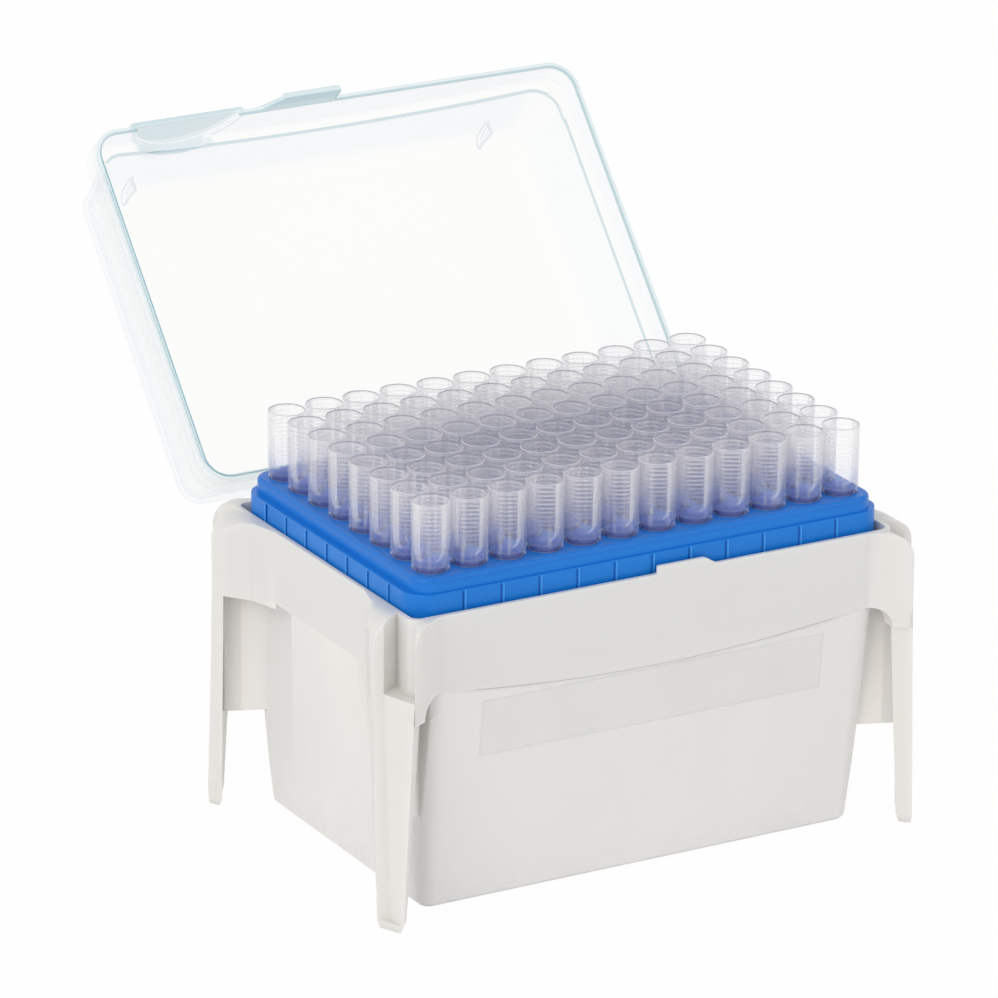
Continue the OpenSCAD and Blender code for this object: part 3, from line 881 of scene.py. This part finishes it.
@dataclass
class EdgeTable:
    """What numpy knows of a mesh's edges: angles, the vertices at their ends, and all points."""

    angle: np.ndarray
    ends: np.ndarray
    points: np.ndarray

    @classmethod
    def of(cls, mesh: bpy.types.Mesh) -> "EdgeTable":
        """Measures a mesh.

        Args:
            mesh: the mesh.

        Returns:
            The table, with the angle in radians between the two faces of each edge.
        """
        edge_of = attribute(mesh.loops, "edge_index", 1, np.int32)
        corners = attribute(mesh.polygons, "loop_total", 1, np.int32)
        normal = attribute(mesh.polygons, "normal", 3, np.float32)
        face_of = np.repeat(np.arange(len(corners)), corners)
        # Corners sorted by edge: two neighbours with the same edge are its two faces
        order = np.argsort(edge_of, kind="stable")
        sorted_edges = edge_of[order]
        pair = np.nonzero(sorted_edges[1:] == sorted_edges[:-1])[0]
        one, other = normal[face_of[order[pair]]], normal[face_of[order[pair + 1]]]
        angle = np.zeros(len(mesh.edges))
        angle[sorted_edges[pair]] = np.arccos(np.clip(np.einsum("ij,ij->i", one, other), -1.0, 1.0))
        ends = attribute(mesh.edges, "vertices", 2, np.int32)
        return cls(angle, ends, attribute(mesh.vertices, "co", 3, np.float32))

    def middle(self) -> np.ndarray:
        """Middles of the edges."""
        return self.points[self.ends].mean(axis=1)

    def room(self, width: float) -> np.ndarray:
        """Share of a rounding's width that fits between an edge's neighbours.

        Args:
            width: the full width.

        Returns:
            1 where the shortest edge that meets this one is long enough, less elsewhere.
        """
        length = np.linalg.norm(self.points[self.ends[:, 0]] - self.points[self.ends[:, 1]], axis=1)
        shortest = np.full(len(self.points), 1.0)
        for end in (0, 1):
            np.minimum.at(shortest, self.ends[:, end], length)
        return np.clip(ROOM_SHARE * shortest[self.ends].min(axis=1) / width, 0.0, 1.0)


def folded_corners(mesh: bpy.types.Mesh) -> np.ndarray:
    """Finds the triangles that face against their own polygon.

    Args:
        mesh: the mesh.

    Returns:
        The places of their corners, n by 3.
    """
    mesh.calc_loop_triangles()
    corner = attribute(mesh.loop_triangles, "vertices", 3, np.int32)
    owner = attribute(mesh.loop_triangles, "polygon_index", 1, np.int32)
    points = attribute(mesh.vertices, "co", 3, np.float64)
    normal = attribute(mesh.polygons, "normal", 3, np.float64)
    a, b, c = (points[corner[:, k]] for k in range(3))
    against = (np.cross(b - a, c - a) * normal[owner]).sum(axis=1) < FOLD_AREA
    return points[np.unique(corner[against])]


def even_normals(mesh: bpy.types.Mesh, limit: float) -> None:
    """Shades flat faces flat and curved ones smooth.

    Each corner of a face gets the mean normal of the faces round its vertex that turn
    from that face by less than a limit, weighted by their areas: n = sum(a_i n_i) / |sum(a_i n_i)|.

    Args:
        mesh: the mesh.
        limit: the limit in radians.
    """
    count, faces = len(mesh.loops), len(mesh.polygons)
    vertex = attribute(mesh.loops, "vertex_index", 1, np.int32)
    normal = attribute(mesh.polygons, "normal", 3, np.float64)
    area = attribute(mesh.polygons, "area", 1, np.float64)
    face = np.repeat(np.arange(faces), attribute(mesh.polygons, "loop_total", 1, np.int32))
    # Every corner is paired with all corners at its vertex, itself too
    order = np.argsort(vertex, kind="stable")
    around = np.bincount(vertex)
    first = np.cumsum(around) - around
    pairs = around[vertex[order]]
    step = np.arange(pairs.sum()) - np.repeat(np.cumsum(pairs) - pairs, pairs)
    here = order[np.repeat(np.arange(count), pairs)]
    there = face[order[np.repeat(first[vertex[order]], pairs) + step]]
    turn = (normal[face[here]] * normal[there]).sum(axis=1)
    share = area[there] * (turn > math.cos(limit)) + LEAST_SHARE
    mean = np.zeros((count, 3))
    np.add.at(mean, here, normal[there] * share[:, None])
    length = np.linalg.norm(mean, axis=1)
    unit = mean / np.maximum(length, LEAST_LENGTH)[:, None]
    mean = np.where((length > LEAST_LENGTH)[:, None], unit, normal[face])
    mesh.polygons.foreach_set("use_smooth", np.ones(faces, bool))
    mesh.normals_split_custom_set(mean.tolist())


# Tells from the middles of edges which of them it means
Choice = Callable[[np.ndarray], np.ndarray]


@dataclass
class RoundedCopy:
    """A CAD node's merged copy with its sharp edges rounded by a Bevel modifier, baked into the mesh.

    The rounding is made smaller where it has little room and where it would fold over.
    """

    node: str
    width: float
    segments: int = 2
    sharp_deg: float = 28.0
    smooth_deg: float = 36.0
    attempts: int = 10
    last_attempts: int = 3
    reach: float = 2.5

    def merged(self, name: str) -> bpy.types.Mesh:
        """Copies the CAD node's mesh, joins its corners and takes out the lines on flat faces.

        Args:
            name: the copy's name.

        Returns:
            The copy, without materials.
        """
        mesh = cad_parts[self.node].data.copy()
        mesh.name = name
        mesh.materials.clear()
        shape = bmesh.new()
        shape.from_mesh(mesh)
        bmesh.ops.remove_doubles(shape, verts=shape.verts, dist=WELD)
        bmesh.ops.dissolve_limit(
            shape,
            angle_limit=math.radians(FLAT_DEG),
            verts=shape.verts,
            edges=shape.edges,
            use_dissolve_boundaries=False,
        )
        bmesh.ops.dissolve_degenerate(shape, edges=shape.edges, dist=SHORTEST_EDGE)
        shape.to_mesh(mesh)
        shape.free()
        mesh.update()
        return mesh

    def build(
        self, name: str, keep_sharp: Choice | None = None, edge_slot: bool = False
    ) -> bpy.types.Object:
        """Makes the piece.

        Args:
            name: the piece's name.
            keep_sharp: tells from the edges' middles which ones stay sharp.
            edge_slot: True gives the rounded edges the second material.

        Returns:
            The object, with the rounding in its mesh.
        """
        mesh = self.merged(name)
        table = EdgeTable.of(mesh)
        sharp = table.angle > math.radians(self.sharp_deg)
        kept = sharp & keep_sharp(table.middle()) if keep_sharp else np.zeros(len(sharp), bool)
        mesh.attributes.new("bevel_weight_edge", "FLOAT", "EDGE")
        for _ in range(2 if edge_slot else 1):
            mesh.materials.append(None)
        piece = bpy.data.objects.new(name, mesh)
        bpy.context.scene.collection.objects.link(piece)
        bevel = piece.modifiers.new("rounded_edges", "BEVEL")
        bevel.limit_method = "WEIGHT"
        bevel.width = self.width
        bevel.segments = self.segments
        bevel.use_clamp_overlap = False
        bevel.miter_outer = "MITER_ARC"
        if edge_slot:
            bevel.material = 1
        self.ease(piece, table, table.room(self.width) * (sharp & ~kept))
        graph = bpy.context.evaluated_depsgraph_get()
        piece.data = bpy.data.meshes.new_from_object(piece.evaluated_get(graph), depsgraph=graph)
        piece.data.name = name
        piece.modifiers.clear()
        bpy.data.meshes.remove(mesh)
        even_normals(piece.data, math.radians(self.smooth_deg))
        return piece

    def ease(self, piece: bpy.types.Object, table: EdgeTable, weight: np.ndarray) -> None:
        """Makes the rounding smaller round the corners where it would fold over.

        Args:
            piece: the object with the Bevel modifier.
            table: its edges.
            weight: the edges' first weights.
        """
        for attempt in range(self.attempts):
            piece.data.attributes["bevel_weight_edge"].data.foreach_set("value", weight.astype(np.float32))
            piece.data.update()
            rounded = piece.evaluated_get(bpy.context.evaluated_depsgraph_get()).to_mesh()
            folds = folded_corners(rounded)
            LOG.info("%s: rounding %d, %d corners of folds", piece.name, attempt, len(folds))
            if not len(folds):
                return
            away = np.linalg.norm(table.points[:, None] - folds[None], axis=2).min(axis=1)
            touched = (away < self.reach * self.width)[table.ends].any(axis=1)
            # The last attempts leave out what halving has not mended
            keep = 0.5 if attempt < self.attempts - self.last_attempts else 0.0
            weight = np.where(touched, weight * keep, weight)
            weight[weight < LEAST_ROUNDING] = 0.0


def hand_over(
    piece: bpy.types.Object, body: Body, slot: Slot, node: str, *finishes: bpy.types.Material
) -> None:
    """Dresses a piece, hangs it on its body's empty and hides its CAD node.

    Args:
        piece: the piece.
        body: the body that it rides on.
        slot: the record's slot.
        node: the CAD node that it stands for.
        finishes: its materials.
    """
    slots = piece.data.materials
    for k, finish in enumerate(finishes):
        if k < len(slots):
            slots[k] = finish
        else:
            slots.append(finish)
    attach(piece, body.value)
    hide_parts(node)
    LOG.info("%s: %d faces, on %s, slot %s", piece.name, len(piece.data.polygons), body.value, slot.value)


# ---- Sub-assemblies ----


@dataclass
class Box:
    """The white box with its legs, horns and hinge ears."""

    edge: float = 0.34 * MM
    finish: WhitePlastic = field(default_factory=WhitePlastic)

    def build(self) -> None:
        """Makes the rounded box."""
        piece = RoundedCopy("rack_box", self.edge).build("moulded_box")
        hand_over(piece, Body.BASE, Slot.BOX, "rack_box", self.finish.make())


@dataclass
class Plate:
    """The blue plate that the tips stand in."""

    edge: float = 0.22 * MM
    pitch: float = 9.0 * MM
    hole_r: float = 3.4 * MM
    finish: BluePlastic = field(default_factory=BluePlastic)

    def in_hole(self, middle: np.ndarray) -> np.ndarray:
        """Tells the edges of the holes from the others.

        Args:
            middle: the edges' middles.

        Returns:
            True where the distance to the nearest hole's axis is about the hole's radius or less.
        """
        low, high = (np.array(c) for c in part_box("tips_column_1"))
        start = np.array([(low[0] + high[0]) / 2, low[1] + (high[0] - low[0]) / 2])
        steps = (middle[:, :2] - start) / self.pitch
        offset = (steps - np.round(steps)) * self.pitch
        return np.hypot(offset[:, 0], offset[:, 1]) < self.hole_r + 0.1 * MM

    def build(self) -> None:
        """Makes the rounded plate."""
        piece = RoundedCopy("tip_plate", self.edge).build("moulded_plate", self.in_hole)
        hand_over(piece, Body.BASE, Slot.PLATE, "tip_plate", self.finish.make())


@dataclass
class Tips:
    """Tips that stand in the plate, one piece to a column. Their own sizes are in millimetres."""

    columns: int = 12
    rows: int = 8
    pitch: float = 9.0
    length: float = 84.0
    cone_h: float = 68.9
    mouth_r: float = 4.15
    seat_r: float = 4.02
    cone_r: float = 3.2
    shank_r: float = 1.3
    shank_h: float = 20.0
    point_r: float = 0.75
    wall: float = 0.42
    turns: int = 36
    lip_points: int = 6
    collar_points: int = 5
    finish: ClearTip = field(default_factory=ClearTip)

    def profile(self) -> np.ndarray:
        """Outline of the wall, up the outside and down the inside.

        Returns:
            A closed loop of radius and height in metres, and zone: point, shank, cone, seat,
            collar, rounded lip, bore, step, cone, point.
        """
        lip = self.wall / 2
        turn = np.linspace(0.0, math.pi, self.lip_points)
        middle_r = self.mouth_r - lip
        share = np.linspace(Zone.LIP_OUT.value - 0.02, Zone.LIP_IN.value + 0.02, self.lip_points)
        rim = np.stack([middle_r + lip * np.cos(turn), self.length - lip + lip * np.sin(turn), share], -1)
        up = np.linspace(self.cone_h + 1.0, self.length - lip - 0.1, self.collar_points)
        # The collar widens evenly from the seat to the mouth
        widening = (self.mouth_r - self.seat_r) * (up - self.cone_h) / (self.length - self.cone_h)
        collar_r = self.seat_r + widening
        collar = np.stack([collar_r, up, np.full(self.collar_points, Zone.COLLAR.value)], -1)
        bore = np.stack([collar_r - self.wall, up, np.full(self.collar_points, Zone.BORE.value)], -1)[::-1]
        cone, seat, step, inside = (z.value for z in (Zone.CONE, Zone.SEAT, Zone.STEP, Zone.INSIDE))
        outside = [
            [self.point_r - 0.08, 0.0, cone],
            [self.point_r, 0.1, cone],
            [self.shank_r, self.shank_h, cone],
            [self.cone_r, self.cone_h - 0.05, cone],
            [self.cone_r, self.cone_h, seat],
            [self.seat_r - 0.25, self.cone_h, seat],
            [self.seat_r - 0.02, self.cone_h + 0.22, seat],
            [self.seat_r, self.cone_h + 0.30, Zone.COLLAR.value],
        ]
        hollow = [
            [self.seat_r - self.wall - 0.12, self.cone_h + 0.95, step],
            [self.seat_r - self.wall - 0.30, self.cone_h + 0.55, step],
            [self.cone_r - self.wall, self.cone_h + 0.25, step],
            [self.shank_r - self.wall, self.shank_h, inside],
            [self.point_r - self.wall, 0.05, inside],
        ]
        line = np.concatenate([outside, collar, rim, bore, hollow])
        return line * (MM, MM, 1.0)

    def column(self, number: int) -> bpy.types.Object:
        """Turns the profile about each tip's axis: x = r cos a, y = r sin a, z = h.

        Args:
            number: the column, counted from 1.

        Returns:
            The piece.
        """
        low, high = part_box(f"tips_column_{number}")
        line = self.profile()
        angle = np.arange(self.turns) / self.turns * 2 * math.pi
        ring = np.stack([np.cos(angle), np.sin(angle)], -1)
        one = np.empty((len(line), self.turns, 3))
        one[..., :2] = line[:, None, :1] * ring[None]
        one[..., 2] = line[:, 1:2]
        place = np.zeros((self.rows, 3))
        place[:, 0] = (low[0] + high[0]) / 2
        row = np.arange(self.rows) - (self.rows - 1) / 2
        place[:, 1] = (low[1] + high[1]) / 2 + row * self.pitch * MM
        place[:, 2] = low[2]
        points = (one[None] + place[:, None, None, :]).reshape(-1, 3)
        zones = np.empty((self.rows, len(line), self.turns, 2))
        zones[..., 0] = angle / (2 * math.pi)
        zones[..., 1] = line[:, 2][:, None]
        quads = grid_quads(len(line), self.turns, self.rows)
        return mesh_piece(f"tips_{number:02d}", points, quads, zones.reshape(-1, 2))

    def build(self) -> None:
        """Makes every column."""
        finish = self.finish.make()
        for number in range(1, self.columns + 1):
            hand_over(self.column(number), Body.BASE, Slot.TIP, f"tips_column_{number}", finish)


@dataclass
class Lid:
    """The clear lid with tinted edges."""

    edge: float = 0.34 * MM
    finish: ClearLid = field(default_factory=ClearLid)

    def build(self) -> None:
        """Makes the rounded lid."""
        piece = RoundedCopy("lid", self.edge).build("clear_lid", edge_slot=True)
        hand_over(piece, Body.LID, Slot.LID, "lid", self.finish.make(False), self.finish.make(True))


@dataclass
class Label:
    """The blank film on the front."""

    edge: float = 0.05 * MM
    finish: LabelFilm = field(default_factory=LabelFilm)

    def build(self) -> None:
        """Makes the film."""
        piece = RoundedCopy("label", self.edge).build("blank_film")
        hand_over(piece, Body.BASE, Slot.LABEL, "label", self.finish.make())


# ---- Studio ----


@dataclass
class Studio:
    """Camera, lights, floor and world."""

    azimuth: float = -29.696
    elevation: float = 20.088
    roll: float = 0.534
    distance: float = 1.53359
    aim: tuple = (0.0, 0.0, 0.0747)
    shift: tuple = (-0.01347, -0.00328)
    lens: float = 260.47
    sensor: float = 36.0
    clip: tuple = (0.05, 50.0)
    world_level: float = 0.74
    floor_half: float = 6.0
    floor_cells: int = 4
    floor_z: float = -0.05 * MM

    def camera(self) -> None:
        """Places the camera: back along its line of sight from the aim, then sideways and up."""
        a, e, k = (math.radians(v) for v in (self.azimuth, self.elevation, self.roll))
        back = Vector((math.sin(a) * math.cos(e), -math.cos(a) * math.cos(e), math.sin(e)))
        side = (-back).cross(Vector((0.0, 0.0, 1.0))).normalized()
        top = side.cross(-back)
        right = side * math.cos(k) + top * math.sin(k)
        up = top * math.cos(k) - side * math.sin(k)
        data = bpy.data.cameras.new("camera")
        data.lens, data.sensor_width = self.lens, self.sensor
        data.clip_start, data.clip_end = self.clip
        made = bpy.data.objects.new("camera", data)
        bpy.context.scene.collection.objects.link(made)
        turn = Matrix((right, up, back)).transposed().to_4x4()
        spot = Vector(self.aim) + back * self.distance + right * self.shift[0] + up * self.shift[1]
        made.matrix_world = Matrix.Translation(spot) @ turn
        bpy.context.scene.camera = made

    def lamp(self, name: str, spot: tuple, size: float, watts: float, colour: tuple) -> None:
        """Adds a square soft lamp that faces the object.

        Args:
            name: its name.
            spot: its place.
            size: its side.
            watts: its power.
            colour: its colour.
        """
        data = bpy.data.lights.new(name, "AREA")
        data.shape, data.size, data.energy, data.color = "SQUARE", size, watts, colour
        made = bpy.data.objects.new(name, data)
        bpy.context.scene.collection.objects.link(made)
        away = (Vector(spot) - Vector(self.aim)).normalized()
        made.matrix_world = Matrix.Translation(spot) @ away.to_track_quat("Z", "Y").to_matrix().to_4x4()

    def world(self) -> None:
        """Even light, seen as white where nothing else is."""
        s = Shader(bpy.data.worlds.new("studio"))
        level = s.seen() * (1.0 - self.world_level) + self.world_level
        sky = s.node("ShaderNodeBackground", inputs={"Color": WHITE, "Strength": level})
        bpy.context.scene.world = s.end(sky, "ShaderNodeOutputWorld")

    def floor(self) -> None:
        """Flat floor just under the feet: x and y run over a square, z is constant."""
        side = self.floor_cells + 1
        line = np.linspace(-self.floor_half, self.floor_half, side)
        x, y = np.meshgrid(line, line, indexing="ij")
        points = np.stack([x, y, np.full_like(x, self.floor_z)], -1).reshape(-1, 3)
        i, j = np.meshgrid(np.arange(self.floor_cells), np.arange(self.floor_cells), indexing="ij")
        first = i * side + j
        quads = np.stack([first, first + side, first + side + 1, first + 1], -1).reshape(-1, 4)
        piece = mesh_piece("floor", points, quads)
        piece.data.materials.append(PaleStage().make())

    def build(self) -> None:
        """Makes the studio."""
        scene = bpy.context.scene
        scene.view_settings.view_transform = "Standard"
        scene.cycles.transparent_max_bounces = 96
        self.camera()
        self.world()
        self.floor()
        self.lamp("key", (-1.6, -0.8, 0.9), 1.1, 12.5, (1.0, 0.98, 0.955))
        self.lamp("fill", (0.9, -1.5, 0.7), 1.2, 4.0, (0.985, 0.99, 1.0))


def main() -> None:
    """Builds the rack and its studio."""
    logging.basicConfig(level=logging.INFO, format="%(name)s: %(message)s")
    Studio().build()
    for part in (Box(), Plate(), Tips(), Lid(), Label()):
        part.build()
    bpy.context.view_layer.update()


if __name__ == "__main__":
    main()
